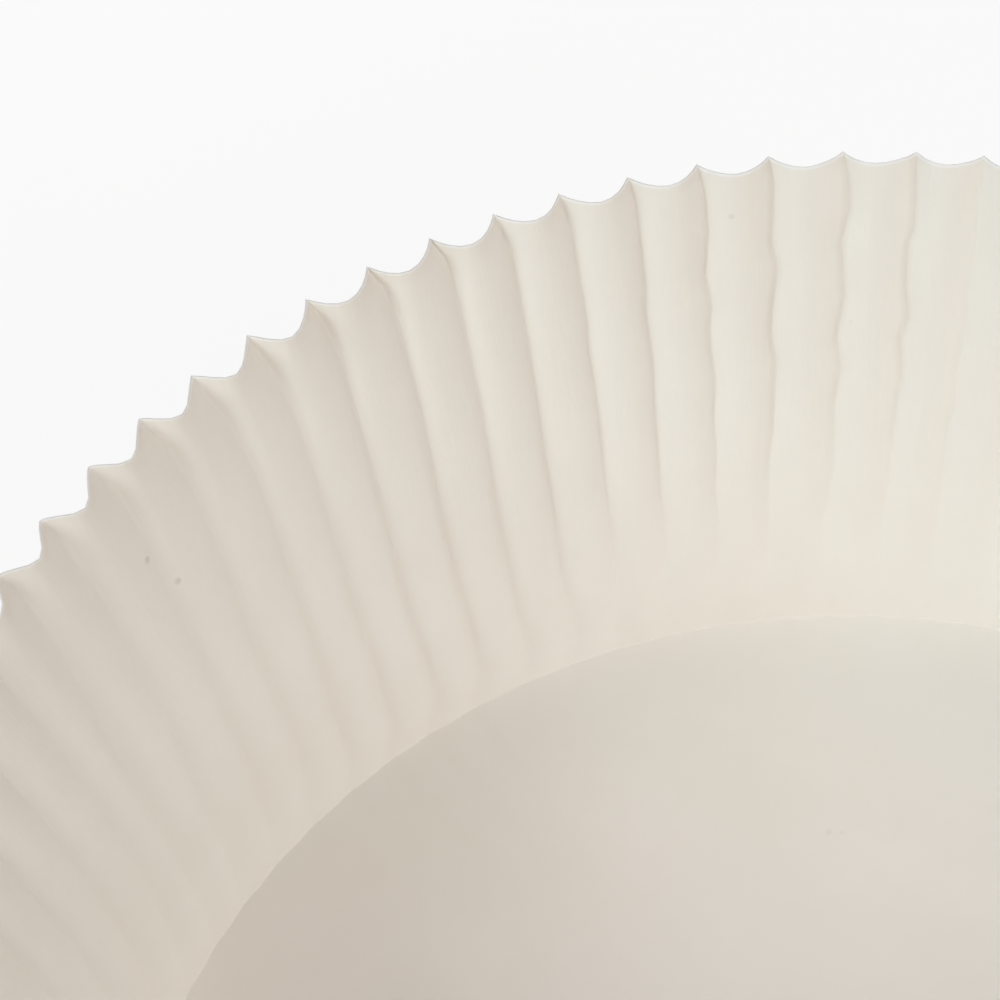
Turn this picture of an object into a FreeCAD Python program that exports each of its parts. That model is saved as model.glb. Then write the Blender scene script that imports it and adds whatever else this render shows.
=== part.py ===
import FreeCAD, Part
import math
import os

# A round cake tin liner: one disc of greaseproof paper pressed into a cup with a
# flat floor and a fluted, flared wall. Millimetres, +Z up, origin at the centre of
# the floor's underside. The outline values are those of the paper's outer face.

paper = 0.15          # thickness, measured level in the wall
baseRadius = 100.0    # tips of the creases where the floor turns up into the wall
rimRadius = 126.0     # tips of the creases at the rim
wallHeight = 73.0     # underside of the floor to the rim
footLean = 4.0        # degrees outwards from upright, where the wall leaves the floor
bandHeight = 18.0     # about the height of each straight band of the wall's curved flare

flutes = 84           # lobes round the wall, crowned inwards, with a sharp crease between each two
flankFlats = 2        # flats on each flank of a lobe, besides the one along its crown
flankSlope = 46.0     # degrees between the flat beside a crease and the one along the crown
rimDepth = 2.6        # crease tip to crown, at the rim
footDepth = 0.25      # the same where the wall leaves the floor
depthGrowth = 0.8     # power of the height by which the depth grows between them

halfPitch = math.pi / flutes
slopes = [math.radians(flankSlope) * (number + 1) / flankFlats for number in range(flankFlats)]
bands = max(1, round(wallHeight / bandHeight))


def tipRadius(height):
    """Radius of the outer face's crease tips: an arc that leaves the floor at its lean and flares out."""
    flare = rimRadius - baseRadius
    lean = math.radians(footLean)
    arcRadius = (flare ** 2 + wallHeight ** 2) / (2 * (flare * math.cos(lean) - wallHeight * math.sin(lean)))
    fromCentre = height + arcRadius * math.sin(lean)
    return baseRadius + arcRadius * math.cos(lean) - math.sqrt(arcRadius ** 2 - fromCentre ** 2)


def lobe(height, inset):
    """Corners of half a lobe, from its crown to its crease: distances along and across its middle.

    Every flat keeps its slope and only changes its length, so it is plane all the way up.
    """
    growth = (height / wallHeight) ** depthGrowth
    depth = footDepth + (rimDepth - footDepth) * growth
    crown = tipRadius(height) * math.cos(halfPitch) - depth - inset
    mitre = 1 + (1 / math.cos(slopes[-1]) - 1) * depth / rimDepth
    tip = tipRadius(height) - inset * mitre
    flat = (tip * math.cos(halfPitch) - crown) / sum(math.sin(slope) for slope in slopes)
    corners = [(tip * math.cos(halfPitch), tip * math.sin(halfPitch))]
    for slope in reversed(slopes):
        along, across = corners[0]
        corners.insert(0, (along - flat * math.sin(slope), across - flat * math.cos(slope)))
    return corners


def ring(height, inset):
    """Level section of one face of the wall, as the corners of a closed ring of lobes."""
    half = lobe(height, inset)
    whole = [(along, -across) for along, across in reversed(half)] + half[:-1]
    points = []
    for number in range(flutes):
        angle = halfPitch * (2 * number + 1)
        for along, across in whole:
            points.append(FreeCAD.Vector(along * math.cos(angle) - across * math.sin(angle),
                                         along * math.sin(angle) + across * math.cos(angle), height))
    return points


def wall(floorHeight, inset):
    """One face of the wall from a floor height to the rim: its flats, and its two end wires."""
    rise = (wallHeight - floorHeight) / bands
    rings = [ring(floorHeight + rise * number, inset) for number in range(bands + 1)]
    flats = []
    for lower, upper in zip(rings, rings[1:]):
        for start in range(len(lower)):
            corners = [lower[start - 1], lower[start], upper[start], upper[start - 1]]
            flats.append(Part.Face(Part.makePolygon(corners + corners[:1])))
    ends = [Part.makePolygon(corners + corners[:1]) for corners in (rings[0], rings[-1])]
    return flats, ends[0], ends[1]


outerFlats, outerFoot, outerRim = wall(0.0, 0.0)
innerFlats, innerFoot, innerRim = wall(paper, paper)
faces = outerFlats + innerFlats
faces += [Part.Face(outerFoot), Part.Face(innerFoot), Part.makeFace([outerRim, innerRim], "Part::FaceMakerBullseye")]
shell = Part.makeShell(faces)
shell.sewShape()
liner = Part.makeSolid(shell)

os.makedirs("parts", exist_ok=True)
liner.exportStep("parts/liner.step")
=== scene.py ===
import math
import random

import bmesh
import bpy
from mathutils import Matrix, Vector, noise


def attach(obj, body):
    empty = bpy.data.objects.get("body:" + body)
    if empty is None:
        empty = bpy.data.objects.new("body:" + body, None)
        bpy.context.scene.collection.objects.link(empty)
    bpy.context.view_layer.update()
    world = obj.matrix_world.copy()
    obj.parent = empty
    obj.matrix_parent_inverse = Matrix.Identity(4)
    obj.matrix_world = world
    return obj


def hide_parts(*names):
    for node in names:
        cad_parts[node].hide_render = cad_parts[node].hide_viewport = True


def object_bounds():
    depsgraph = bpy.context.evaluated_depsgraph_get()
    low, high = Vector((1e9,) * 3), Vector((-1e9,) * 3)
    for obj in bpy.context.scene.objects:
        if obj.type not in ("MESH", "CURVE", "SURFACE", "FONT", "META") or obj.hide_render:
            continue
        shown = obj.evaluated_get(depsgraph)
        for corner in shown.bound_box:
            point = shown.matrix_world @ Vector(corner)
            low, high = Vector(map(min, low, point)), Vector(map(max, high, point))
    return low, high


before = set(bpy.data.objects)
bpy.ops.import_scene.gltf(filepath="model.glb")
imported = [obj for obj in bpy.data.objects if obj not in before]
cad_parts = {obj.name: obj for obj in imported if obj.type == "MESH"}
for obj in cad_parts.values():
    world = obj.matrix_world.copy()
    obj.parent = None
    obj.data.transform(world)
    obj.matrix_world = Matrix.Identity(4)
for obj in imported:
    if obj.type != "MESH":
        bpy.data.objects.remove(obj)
cadLow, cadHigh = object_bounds()
print("frame loaded")


# a shader socket that plain Python maths can be written on
class Wire:
    def __init__(self, finish, socket):
        self.finish = finish
        self.socket = socket

    def maths(self, operation, first, second):
        return self.finish.node("ShaderNodeMath", {"operation": operation}, {0: first, 1: second})

    def __add__(self, other):
        return self.maths("ADD", self, other)

    def __radd__(self, other):
        return self.maths("ADD", other, self)

    def __sub__(self, other):
        return self.maths("SUBTRACT", self, other)

    def __rsub__(self, other):
        return self.maths("SUBTRACT", other, self)

    def __mul__(self, other):
        return self.maths("MULTIPLY", self, other)

    def __rmul__(self, other):
        return self.maths("MULTIPLY", other, self)


# a node tree under construction, of a material or of the world
class Finish:
    def __init__(self, owner):
        self.owner = owner
        owner.use_nodes = True
        self.tree = owner.node_tree
        self.tree.nodes.clear()

    # any node: its type, its settings, the values or links of its sockets, and the output wanted
    def node(self, kind, settings=None, sockets=None, output=0):
        made = self.tree.nodes.new(kind)
        for name, value in (settings or {}).items():
            setattr(made, name, value)
        for name, value in (sockets or {}).items():
            if isinstance(value, Wire):
                self.tree.links.new(value.socket, made.inputs[name])
            else:
                made.inputs[name].default_value = value
        return Wire(self, made.outputs[output])

    # smooth step of a value from 0 at low to 1 at high
    def between(self, value, low, high):
        return self.node("ShaderNodeMapRange", {"interpolation_type": "SMOOTHSTEP"},
                         {"Value": value, "From Min": low, "From Max": high})

    def mixed(self, amount, first, second):
        return self.node("ShaderNodeMix", {"data_type": "RGBA"}, {0: amount, 6: first, 7: second}, output=2)

    def noiseOn(self, place, scale, detail=2.0, roughness=0.5):
        return self.node("ShaderNodeTexNoise", {}, {"Vector": place, "Scale": scale, "Detail": detail,
                                                    "Roughness": roughness})

    def place(self):
        return self.node("ShaderNodeTexCoord", output="Object")

    def attribute(self, name, output="Fac"):
        return self.node("ShaderNodeAttribute", {"attribute_name": name}, output=output)

    # joins the last shader to the output and hands back what it finishes
    def ends(self, shader, output="ShaderNodeOutputMaterial"):
        self.tree.links.new(shader.socket, self.tree.nodes.new(output).inputs["Surface"])
        return self.owner


# plain colour value as written, turned to the linear light that shaders work in
def tone(red, green, blue):
    return (*[(c / 12.92 if c <= 0.04045 else ((c + 0.055) / 1.055) ** 2.4) for c in (red, green, blue)], 1.0)


form = {
    "flutes": 84,
    "columns": 10,          # columns of faces across one flute
    "gather": 0.6,          # how strongly they crowd towards the creases
    "floorRings": 3,
    "cornerRows": 2,
    "wallRows": 50,
    "hair": 1e-6,           # whatever is smaller counts as nothing
    "paper": 0.00015,
    "footCorner": 0.0002,   # radius of the pressed corner where the floor turns up
    "footLean": 4.0,        # degrees outwards from upright where the wall leaves the floor
    "swells": 3,            # how often the flutes' depth swells and ebbs round the rim,
    "swellsAt": 150.0,      # degrees round the axis of one place where they are deepest,
    "depthSwing": 0.34,     # and how much deeper they are there
    "rimDepth": 0.0027,     # crease to crown, at the rim
    "rimGain": 12,          # how suddenly the last of that depth comes
    "footDepth": (0.00012, 0.00003),    # at the foot, and how much more where the flutes are deepest
    "lowDepth": (0.0003, 0.0007),       # gained soon above the foot, and the same
    "lowReach": 0.1,                    # and the share of the wall's run that it takes
    "wallDepth": (0.00135, -0.0014),    # gained steadily on the way up, and the same
    "mostWallDepth": 0.002,
    "spread": 0.06,                     # how far one flute differs in depth from the next
    "rimRoundness": (1.95, 0.1),        # 1 is a straight-sided lobe, 2 a full round one, at the cut rim
    "wallRoundness": (2.05, 1.0),       # and more than 2 a lobe with a flat crown, below it,
    "roundnessFrom": 0.88,              # to this share of the run
    "softBelow": (0.10, -0.06),         # share of the wall's run below which the flutes are soft waves,
    "sharpFrom": (0.36, -0.12),         # and above which their creases are sharp
    "blunt": (0.0, 0.00025),            # how broadly the creases are rounded,
    "bluntTo": 0.85,                    # which fades from this share of the run to the rim
    "pinch": (0.0001, -0.00004),        # how much deeper the folded line lies than the lobes beside it
    "pinchWidth": 0.00065,
    "seed": 7,
    "kinkGap": 0.0055,                  # run between two kinks of a creased line,
    "kinkGapShare": (0.6, 1.4),         # and the bounds of what it comes to
    "kinkReach": 0.00035,               # sideways reach of the worst kinks
    "kinkShare": (0.3, 1.0),            # and the bounds of what one kink has of it
    "kinkFrom": 0.42,                   # share of the run where kinks begin
    "kinkWidth": 0.0017,                # how far to the side of a crease its kinks are felt,
    "kinkWiden": 0.6,                   # and how much further a long one is
    "wander": 0.0006,                   # how far creases lie from even spacing near the rim,
    "wanderTo": 0.95,                   # at this share of the run and above it
    "creaseShade": (0.15, 0.6),                # bounds of how dark the painted shade along a folded line is,
    "creaseShadeFrom": (0.0, 0.3),             # and of the share of the run at which it begins
    "creaseShadeOver": 0.5,                    # share of the run over which it grows to that
    "creaseShadeWidth": (0.0008, 0.0004),
    "softShallow": 0.55,                # where the paper lies in soft waves: how much shallower they are,
    "softShadeWidth": 0.0007,                # how much broader their lines of painted shade,
    "softShadeShift": 0.0006,                # and how far those are moved clockwise
    "tuck": 0.00005,                    # height of the faint second fold beside a crease
    "tucked": (-0.6, 1.4),              # bounds of how strong it is, and below 0 there is none
    "tuckPlace": 0.0013,                # its distance from the crease
    "tuckWidth": 0.0003,
    "tuckGrain": (1.7, 4.2, 60.0),      # how fast it changes from flute to flute, an offset, and along the run
    "ripple": 0.00008,                  # uneven lie of the paper
    "rippleGrain": (3.1, 1.5, 90.0),    # how fast it changes from flute to flute, across one and along the run
    "rimDip": 0.0002,                   # unevenness of the cut rim,
    "dipGrain": (9.0, 1.7, 0.0),        # how fast it changes round the rim, and an offset,
    "dipGain": 4,                       # and how suddenly it sets in
    "streaking": 0.07,                  # how long the sheet's pressed streaks are drawn out: less is longer
}

# the creases that wander most: the bends that each one makes, as way up its run and sideways place, in millimetres
kinked = {
    24: ((20, 0.2), (28, -0.4), (38, -0.3), (46, -0.8), (52, -0.3), (55, -1.1), (60, -0.4), (66, -0.4), (68, -1.1),
         (78, -0.8)),
    25: ((23, 0.5), (29, -0.4), (36, -0.4), (41, 0.0), (47, -0.8), (52, 0.0), (58, -1.0), (66, -0.4), (71, -1.5),
         (76, -1.2), (78, -0.5)),
    26: ((20, 0.6), (33, 0.8), (37, 0.3), (49, -0.2), (53, 0.5), (57, 0.2), (63, -0.7), (67, 0.1), (70, -0.3),
         (76, -0.5), (78, 0.0)),
    27: ((22, -0.3), (28, 0.6), (36, 0.2), (41, 0.5), (47, -0.1), (52, 0.4), (56, 0.3), (59, -0.3), (63, 0.5),
         (69, -0.5), (75, -0.5), (78, 0.2)),
    28: ((20, 0.0), (30, 0.5), (45, 0.4), (51, 0.0), (60, 0.3), (63, -0.2), (76, -0.3), (78, 0.2)),
    29: ((20, -0.1), (34, 0.3), (51, 0.0), (56, 0.2), (60, -0.3), (74, -0.3), (78, 0.3)),
    30: ((8, -1.1), (20, 0.1), (42, 0.3), (58, -0.4), (73, -0.8), (78, 0.1)),
    31: ((8, -1.1), (20, -0.1), (36, 0.3), (56, -0.8), (69, -1.3), (76, -1.4), (78, -0.1)),
    32: ((8, -1.3), (20, -0.4), (26, 0.1), (38, 0.2), (47, -0.2), (58, -1.1), (69, -1.5), (76, -1.4), (78, -0.2)),
    33: ((8, -1.3), (20, -0.3), (27, 0.4), (40, 0.3), (61, -0.8), (69, -1.4), (76, -1.1), (78, -0.2)),
    34: ((8, -1.0), (20, -0.4), (30, 0.1), (38, 0.1), (54, -0.8), (66, -1.6), (72, -1.3), (78, -0.3)),
    35: ((8, -0.9), (20, -0.1), (40, -0.3), (49, -0.8), (62, -2.0), (70, -1.6), (78, -0.3)),
    36: ((20, -0.5), (30, 0.2), (40, 0.3), (48, -0.4), (69, -1.9), (73, -1.7), (78, -0.5)),
    37: ((30, 0.3), (40, 0.2), (57, -0.6), (70, -1.5), (73, -1.5), (78, -0.4)),
    38: ((27, 1.3), (49, 0.6), (67, -0.6), (74, -0.7), (78, 0.0)),
    39: ((31, 1.3), (48, 1.5), (66, -0.3), (74, -0.6), (78, 0.0)),
}

# of those creases and their neighbours: how dark the painted shade along the line is, how far the paper lies there in a
# soft wave and not in a sharp fold, and the share of the wall's run at which the line begins, below 0 where it is well
# under way at the foot
creaseShade = {
    24: (1.0, 0.0, 0.3), 25: (0.9, 0.0, 0.3), 26: (0.85, 0.0, 0.28), 27: (0.55, 0.0, 0.27), 28: (0.58, 0.0, 0.27),
    29: (0.44, 0.0, 0.22), 30: (0.38, 0.0, 0.0), 31: (0.38, 0.0, -0.05), 32: (0.46, 0.0, -0.15),
    33: (0.42, 0.1, -0.15), 34: (0.38, 0.4, -0.15), 35: (0.4, 0.5, -0.1), 36: (0.38, 0.6, -0.03),
    37: (0.38, 0.7, 0.0), 38: (0.36, 0.75, 0.05), 39: (0.36, 0.8, 0.08), 40: (0.36, 0.8, 0.1), 41: (0.36, 0.7, 0.1),
    42: (0.34, 0.55, 0.1), 43: (0.3, 0.4, 0.1), 44: (0.3, 0.2, 0.12),
}


def footRadius():
    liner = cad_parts["liner"].data
    low = [vertex.co for vertex in liner.vertices if vertex.co.z < form["paper"] / 2]
    return max(math.hypot(co.x, co.y) for co in low)


# half the liner's profile: across the floor, round the pressed corner, then up the wall, which flares along one arc
def profile(chain, foot):
    lean, corner = math.radians(form["footLean"]), form["footCorner"]
    start = bmesh.ops.create_vert(chain, co=(0, 0, 0))["vert"]
    edge = bmesh.ops.extrude_vert_indiv(chain, verts=start)
    bmesh.ops.translate(chain, verts=edge["verts"], vec=(foot - corner, 0, 0))
    turned = bmesh.ops.spin(chain, geom=edge["verts"], cent=(foot - corner, 0, corner), axis=(0, -1, 0),
                            angle=math.pi / 2 - lean, steps=form["cornerRows"])
    low = [item for item in turned["geom_last"] if isinstance(item, bmesh.types.BMVert)]
    flare, height = cadHigh.x - low[0].co.x, cadHigh.z - low[0].co.z
    radius = (flare ** 2 + height ** 2) / (2 * (flare * math.cos(lean) - height * math.sin(lean)))
    centre = low[0].co + Vector((math.cos(lean), 0, -math.sin(lean))) * radius
    turn = math.asin(height / radius + math.sin(lean)) - lean
    bmesh.ops.spin(chain, geom=low, cent=centre, axis=(0, 1, 0), angle=turn, steps=form["wallRows"])
    bmesh.ops.subdivide_edges(chain, edges=edge["edges"], cuts=form["floorRings"] - 1)


# notes on each point of the profile its run, which is its way along the paper from where the corner starts
def measureRun(chain):
    run = chain.verts.layers.float.new("run")
    here = min(chain.verts, key=lambda vertex: vertex.co.length)
    here[run] = form["footCorner"] - footRadius()
    seen = {here}
    while True:
        onward = [edge.other_vert(here) for edge in here.link_edges if edge.other_vert(here) not in seen]
        if not onward:
            return here[run]
        following = onward[0]
        following[run] = here[run] + (following.co - here.co).length
        here = following
        seen.add(here)


# a plain cup: the profile spun round the axis
def plainCup():
    cup = bmesh.new()
    profile(cup, footRadius())
    total = measureRun(cup)
    bmesh.ops.spin(cup, geom=list(cup.verts) + list(cup.edges), cent=(0, 0, 0), axis=(0, 0, 1),
                   angle=2 * math.pi, steps=form["flutes"] * form["columns"], use_merge=True)
    bmesh.ops.remove_doubles(cup, verts=list(cup.verts), dist=form["hair"])
    bmesh.ops.recalc_face_normals(cup, faces=list(cup.faces))
    lowest = min(cup.faces, key=lambda face: face.calc_center_median().length)
    if lowest.normal.z > 0:
        bmesh.ops.reverse_faces(cup, faces=list(cup.faces))
    return cup, total


def smooth(value, low, high):
    share = min(1.0, max(0.0, (value - low) / (high - low)))
    return share * share * (3 - 2 * share)


def bell(distance, width):
    return math.exp(-(distance / width) ** 2)


# noise from -1 to 1 at a place, and how fast it changes each way
def uneven(grain, place):
    return noise.noise(Vector(grain) * Vector(place))


# a value of the form that swings with the depth of the flutes
def swung(name, swing):
    middle, reach = form[name]
    return middle + reach * swing


# each crease's own habits: how it kinks and wanders, how deep the flute beside it is, its second fold and its line of
# painted shade
def creaseHabits(total):
    draw, shadeDraw = random.Random(form["seed"]), random.Random(form["seed"] + 1)
    habits = []
    for number in range(form["flutes"]):
        strength, lean = draw.random() * form["kinkReach"], draw.uniform(-1, 1) * form["wander"]
        kinks = [(form["kinkFrom"] * total, 0.0)]
        while kinks[-1][0] < total:
            reach = draw.uniform(*form["kinkShare"]) * (1 if len(kinks) % 2 else -1)
            place = kinks[-1][0] + form["kinkGap"] * draw.uniform(*form["kinkGapShare"])
            drift = lean * smooth(place / total, form["kinkFrom"], form["wanderTo"])
            kinks.append((place, reach * strength + drift))
        if number in kinked:
            kinks = [(place / 1000, side / 1000) for place, side in kinked[number]]
        deep, tucked = draw.uniform(-1, 1), max(0.0, draw.uniform(*form["tucked"]))
        drawnShade = (shadeDraw.uniform(*form["creaseShade"]), 0.0, shadeDraw.uniform(*form["creaseShadeFrom"]))
        dark, soft, start = creaseShade.get(number, drawnShade)
        habits.append({"kinks": kinks, "deep": deep, "tucked": tucked, "dark": dark, "soft": soft, "start": start})
    return habits


# sideways place of a crease at a point of its run, and what is felt of it so far to the side, in metres
def kinkAt(habit, run, near):
    kinks = habit["kinks"]
    kink = kinks[0][1] * smooth(run, 0, kinks[0][0]) if run <= kinks[0][0] else kinks[-1][1]
    for (low, before), (high, after) in zip(kinks, kinks[1:]):
        if low < run <= high:
            kink = before + (after - before) * (run - low) / (high - low)
    return kink * bell(near, form["kinkWidth"] + form["kinkWiden"] * abs(kink))


# crease to crown, at a share of the wall's run
def fluteDepth(rise, swing, softness):
    shallow = 1 - form["softShallow"] * softness
    foot, rim = swung("footDepth", swing), form["rimDepth"] * (1 + form["depthSwing"] * swing)
    low = max(0.0, swung("lowDepth", swing)) * shallow
    steady = min(form["mostWallDepth"], swung("wallDepth", swing)) * shallow
    depth = foot + low * (1 - math.exp(-rise / form["lowReach"])) + steady * rise
    return depth + (rim - foot - low - steady) * rise ** form["rimGain"]


# how far the paper has fallen back from the crown, which is 0, to the crease, which is 1
def fluteFall(rise, swing, creased, near, width):
    bluntness = max(0.0, swung("blunt", swing)) * (1 - smooth(rise, form["bluntTo"], 1.0))
    share = max(0.0, 1 - 2 * math.hypot(near, bluntness) / width)
    roundness = swung("wallRoundness", swing)
    roundness += (swung("rimRoundness", swing) - roundness) * smooth(rise, form["roundnessFrom"], 1.0)
    return creased * share ** roundness + (1 - creased) * (1 - math.cos(math.pi * share)) / 2


# how much painted shade a crease's line has, so far to the side of it
def foldShadeLine(habit, rise, swing, softness, near):
    width = swung("creaseShadeWidth", swing) + form["softShadeWidth"] * softness
    return habit["dark"] * bell(near, width) * smooth(rise, habit["start"], habit["start"] + form["creaseShadeOver"])


def fluteWall(cup, total):
    habits = creaseHabits(total)
    run = cup.verts.layers.float["run"]
    rising = cup.verts.layers.float.new("rise")
    foldShading = cup.verts.layers.float.new("foldShade")
    sheet = cup.verts.layers.float_vector.new("sheet")
    pitch, hair = 2 * math.pi / form["flutes"], form["hair"]
    for vertex in cup.verts:
        if vertex[run] < -hair:
            continue
        rise = max(0.0, vertex[run] / total)
        tip = math.hypot(vertex.co.x, vertex.co.y)
        # which flute this is, and the share of the way across it, crowded towards the creases
        place = math.atan2(vertex.co.y, vertex.co.x) / pitch
        number = math.floor(place + hair)
        across = place - number
        across -= form["gather"] * math.sin(2 * math.pi * across) / (2 * math.pi)
        width = pitch * tip
        nearBefore, nearAfter = across * width, (1 - across) * width
        near = min(nearBefore, nearAfter)
        # the creases on its two sides, and how the paper lies between them
        before, after = habits[number % form["flutes"]], habits[(number + 1) % form["flutes"]]
        softness = before["soft"] + (after["soft"] - before["soft"]) * across
        swing = math.cos(form["swells"] * ((number + 0.5) * pitch - math.radians(form["swellsAt"])))
        creased = (1 - softness) * smooth(rise, swung("softBelow", swing), swung("sharpFrom", swing))
        depth = fluteDepth(rise, swing, softness) * (1 + before["deep"] * form["spread"])
        radius = tip - depth * (1 - fluteFall(rise, swing, creased, near, width))
        radius -= swung("pinch", swing) * creased * (1 - bell(near, form["pinchWidth"]))
        radius -= form["ripple"] * rise * (1 + uneven(form["rippleGrain"], (number, across, vertex[run])))
        tucked = bell(nearAfter - form["tuckPlace"], form["tuckWidth"]) * after["tucked"] * creased
        radius -= form["tuck"] * tucked * (1 + uneven(form["tuckGrain"], (number, 1, vertex[run])))
        side = kinkAt(before, vertex[run], nearBefore) + kinkAt(after, vertex[run], nearAfter)
        angle = (number + across) * pitch + side / tip
        dip = (0.5 + 0.5 * uneven(form["dipGrain"], (angle, 1, 0))) * rise ** form["dipGain"]
        vertex.co = (radius * math.cos(angle), radius * math.sin(angle), vertex.co.z - form["rimDip"] * dip)
        vertex[rising] = rise
        # painted shade along the nearer crease's line, shifted where the paper lies in soft waves
        shift = form["softShadeShift"] * softness
        nearLine = min(nearBefore + shift, abs(nearAfter - shift))
        vertex[foldShading] = foldShadeLine(before if nearBefore < nearAfter else after, rise, swing, softness, nearLine)
        vertex[sheet] = (math.cos(angle), math.sin(angle), rise * form["streaking"])


# the cut rim and the pressed corner keep their edges, and all else is shaded smooth
def shadeEdges(cup):
    run, hair = cup.verts.layers.float["run"], form["hair"]
    cornerEnd = form["footCorner"] * math.radians(90 - form["footLean"])
    for face in cup.faces:
        face.smooth = True
    for edge in cup.edges:
        low, high = sorted(vertex[run] for vertex in edge.verts)
        ring = high - low < hair and -hair < low and high < cornerEnd + hair
        edge.smooth = not (edge.is_boundary or ring)


def makeLiner(material):
    cup, total = plainCup()
    fluteWall(cup, total)
    shadeEdges(cup)
    mesh = bpy.data.meshes.new("linerPaper")
    cup.to_mesh(mesh)
    cup.free()
    piece = bpy.data.objects.new("linerPaper", mesh)
    bpy.context.scene.collection.objects.link(piece)
    mesh.materials.append(material)
    wall = piece.modifiers.new("paperThickness", "SOLIDIFY")
    wall.thickness = form["paper"]
    wall.offset = -1
    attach(piece, "root")
    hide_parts("liner")
    print("liner made:", len(mesh.polygons), "faces, wall run", round(total, 4))


paper = {
    "pale": (0.937, 0.919, 0.888),
    "warm": (0.929, 0.908, 0.872),
    "rimTone": (0.925, 0.885, 0.822),   # what the paper turns towards up the wall
    "rimShare": 0.26,                   # and how far it gets at the rim
    "rimHighlightTone": (0.95, 0.94, 0.925),    # painted highlight along the cut edge round the rim
    "rimHighlightShare": 0.007,                 # how much of the wall's run it takes
    "foldShadeTone": (0.886, 0.853, 0.806),  # painted shade along a folded line, partly the pressed fold's own tan
    "smooth": 0.56,                     # roughness where the sheet is well pressed,
    "dull": 0.68,                       # and where it is less so
    "cloud": (38.0, 4.0, 0.6),          # its clouding: how fine, in how much detail, how rough,
    "cloudEnds": (0.3, 0.72),           # and where in that the pale and the warm paper are reached
    "fibre": (1300.0, 3.0, 0.65),       # the same of its fibres,
    "grain": (260.0, 2.0),              # of the coarser grain that they lie in,
    "streak": (260.0, 3.0, 0.6),        # and of the streaks from pressing
    "fibreShare": 0.65,                 # what the fibres have of the relief beside the grain,
    "streakShare": 5.0,                 # what the streaks add to that,
    "streakFrom": (0.1, 0.6),           # and the shares of the wall's run between which they set in
    "reliefHeight": 0.00006,
    "reliefStrength": 0.22,
    "ragged": (0.6, 0.8),               # how ragged a mark's outline is: the least, and what the grain adds
    "markCore": 0.5,                    # share of a mark that has its full tone
}

# stray marks in the sheet: where, how large and what tone
marks = [
    ((-0.1092, 0.0430, 0.0599), 0.00060, (0.87, 0.82, 0.76)),
    ((-0.1057, 0.0439, 0.0551), 0.00062, (0.865, 0.84, 0.80)),
    ((-0.0491, 0.1100, 0.0678), 0.00048, (0.89, 0.87, 0.84)),
    ((-0.0315, 0.1084, 0.0528), 0.00040, (0.915, 0.89, 0.855)),
    ((-0.0206, 0.0609, 0.0002), 0.00060, (0.915, 0.89, 0.85)),
    ((-0.0188, 0.0613, 0.0002), 0.00040, (0.92, 0.895, 0.855)),
]


def paperFinish():
    made = Finish(bpy.data.materials.new("greaseproofPaper"))
    place = made.place()
    cloud = made.between(made.noiseOn(place, *paper["cloud"]), *paper["cloudEnds"])
    fibre = made.noiseOn(place, *paper["fibre"])
    grain = made.noiseOn(place, *paper["grain"])
    rise = made.attribute("rise")
    colour = made.mixed(cloud, tone(*paper["pale"]), tone(*paper["warm"]))
    colour = made.mixed(rise * paper["rimShare"], colour, tone(*paper["rimTone"]))
    # painted shade along the folded lines, partly the pressed fold's own tan
    colour = made.mixed(made.attribute("foldShade"), colour, tone(*paper["foldShadeTone"]))
    # painted highlight along the cut rim, lighter than the paper
    edge = made.between(rise, 1 - paper["rimHighlightShare"], 1 - paper["rimHighlightShare"] / 2)
    colour = made.mixed(edge, colour, tone(*paper["rimHighlightTone"]))
    least, added = paper["ragged"]
    for spot, size, markTone in marks:
        away = made.node("ShaderNodeVectorMath", {"operation": "DISTANCE"}, {0: place, 1: spot}, output="Value")
        ragged = away * (least + added * grain)
        colour = made.mixed(1 - made.between(ragged, size * paper["markCore"], size), colour, tone(*markTone))
    streak = made.noiseOn(made.attribute("sheet", "Vector"), *paper["streak"])
    relief = paper["fibreShare"] * fibre + (1 - paper["fibreShare"]) * grain
    relief = relief + paper["streakShare"] * streak * made.between(rise, *paper["streakFrom"])
    bump = made.node("ShaderNodeBump", {}, {"Strength": paper["reliefStrength"],
                                            "Distance": paper["reliefHeight"], "Height": relief})
    roughness = paper["smooth"] + (paper["dull"] - paper["smooth"]) * cloud
    return made.ends(made.node("ShaderNodeBsdfPrincipled", {}, {"Base Color": colour, "Roughness": roughness,
                                                                "Normal": bump}))


stage = {
    "floorTone": (0.93, 0.93, 0.92),
    "floorSize": 6.0,
    "floorGap": 0.0001,     # how far it lies below the liner
    "paleness": 0.9,        # how far it is seen as plain white, its shadows kept
}


# light path's share of rays that see the background: the camera's, and those through gloss and glass
def seenRays(made):
    seen = [made.node("ShaderNodeLightPath", output=name)
            for name in ("Is Camera Ray", "Is Glossy Ray", "Is Transmission Ray")]
    return made.node("ShaderNodeMath", {"operation": "ADD", "use_clamp": True}, {0: seen[0] + seen[1], 1: seen[2]})


def floorFinish():
    made = Finish(bpy.data.materials.new("studioFloor"))
    lit = made.node("ShaderNodeBsdfDiffuse", {}, {"Color": tone(*stage["floorTone"])})
    white = made.node("ShaderNodeEmission", {}, {"Color": (1, 1, 1, 1), "Strength": 1.0})
    both = made.node("ShaderNodeMixShader", {}, {0: seenRays(made) * stage["paleness"], 1: lit, 2: white})
    return made.ends(both)


def makeFloor():
    ground = bmesh.new()
    bmesh.ops.create_grid(ground, x_segments=1, y_segments=1, size=stage["floorSize"] / 2)
    bmesh.ops.translate(ground, verts=list(ground.verts), vec=(0, 0, cadLow.z - stage["floorGap"]))
    mesh = bpy.data.meshes.new("studioFloor")
    ground.to_mesh(mesh)
    ground.free()
    mesh.materials.append(floorFinish())
    floor = bpy.data.objects.new("studioFloor", mesh)
    bpy.context.scene.collection.objects.link(floor)


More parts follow.
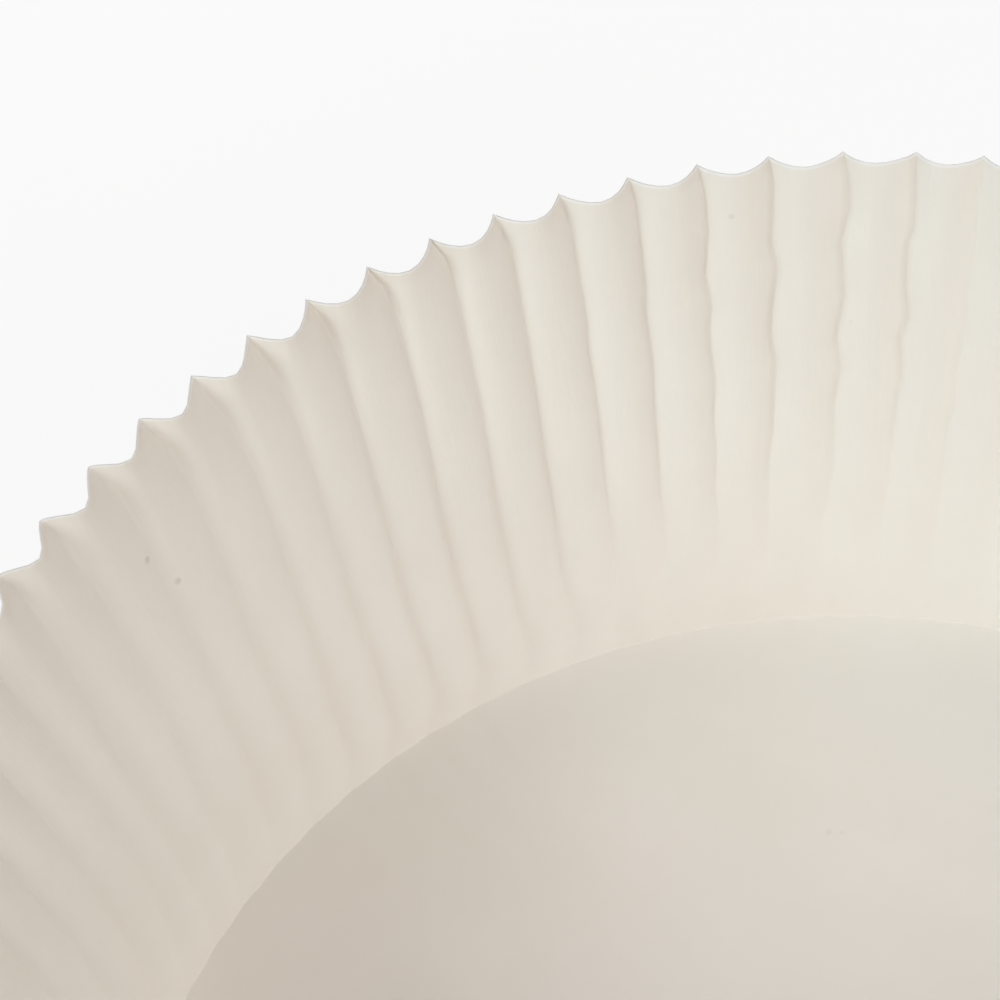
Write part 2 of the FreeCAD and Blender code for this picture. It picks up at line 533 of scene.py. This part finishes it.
light = {
    "skyStrength": 0.1,
    "skyTint": (1.15, 1.0, 0.9, 1.0),
    "away": 2.4,            # metres from the liner to each lamp
    # degrees round from the x axis, degrees above level, side of the square, watts, tint
    "lamps": {
        "leftSoftbox": (-140, 34, 1.0, 25.2, (0.885, 1.0, 1.065)),
        "rightSoftbox": (-14, 37, 1.2, 24.6, (1.0, 1.0, 1.02)),
        "frontSoftbox": (-93, 26, 0.7, 12.0, (0.985, 1.0, 0.98)),
        "backFill": (90, 55, 0.7, 4.0, (1.25, 1.0, 0.95)),
    },
}


def makeLamp(name, roundAngle, upAngle, size, power, tint):
    data = bpy.data.lights.new(name, "AREA")
    data.shape = "SQUARE"
    data.size = size
    data.energy = power
    data.color = tint
    level = light["away"] * math.cos(math.radians(upAngle))
    spot = Vector((level * math.cos(math.radians(roundAngle)), level * math.sin(math.radians(roundAngle)),
                   light["away"] * math.sin(math.radians(upAngle))))
    lamp = bpy.data.objects.new(name, data)
    lamp.location = spot
    lamp.rotation_mode = "QUATERNION"
    lamp.rotation_quaternion = (Vector((0, 0, cadHigh.z / 2)) - spot).to_track_quat("-Z", "Y")
    bpy.context.scene.collection.objects.link(lamp)


def makeLight():
    made = Finish(bpy.data.worlds.new("studioSky"))
    sky = made.node("ShaderNodeBackground", {}, {"Color": light["skyTint"], "Strength": light["skyStrength"]})
    white = made.node("ShaderNodeBackground", {}, {"Color": (1, 1, 1, 1), "Strength": 1.0})
    both = made.node("ShaderNodeMixShader", {}, {0: seenRays(made), 1: sky, 2: white})
    bpy.context.scene.world = made.ends(both, "ShaderNodeOutputWorld")
    for name, lamp in light["lamps"].items():
        makeLamp(name, *lamp)


view = {
    "lens": 144.0,          # in millimetres, as the sensor's width is
    "sensor": 36.0,
    "back": 0.21755,        # level distance from the liner's axis
    "height": 0.48222,
    "round": 1.691,         # degrees round the axis, so that creases fall where they should
    "turn": 13.213,         # degrees to the left of the axis
    "down": 55.462,         # degrees below level
}


def makeCamera():
    data = bpy.data.cameras.new("camera")
    data.sensor_width = view["sensor"]
    data.lens = view["lens"]
    camera = bpy.data.objects.new("camera", data)
    roundAngle = math.radians(view["round"])
    camera.location = (view["back"] * math.sin(roundAngle), -view["back"] * math.cos(roundAngle), view["height"])
    camera.rotation_euler = (math.radians(90 - view["down"]), 0, math.radians(view["turn"] + view["round"]))
    bpy.context.scene.collection.objects.link(camera)
    bpy.context.scene.camera = camera


bpy.context.scene.view_settings.view_transform = "Standard"
makeLiner(paperFinish())
makeFloor()
makeLight()
makeCamera()
print("stage, light and camera made")
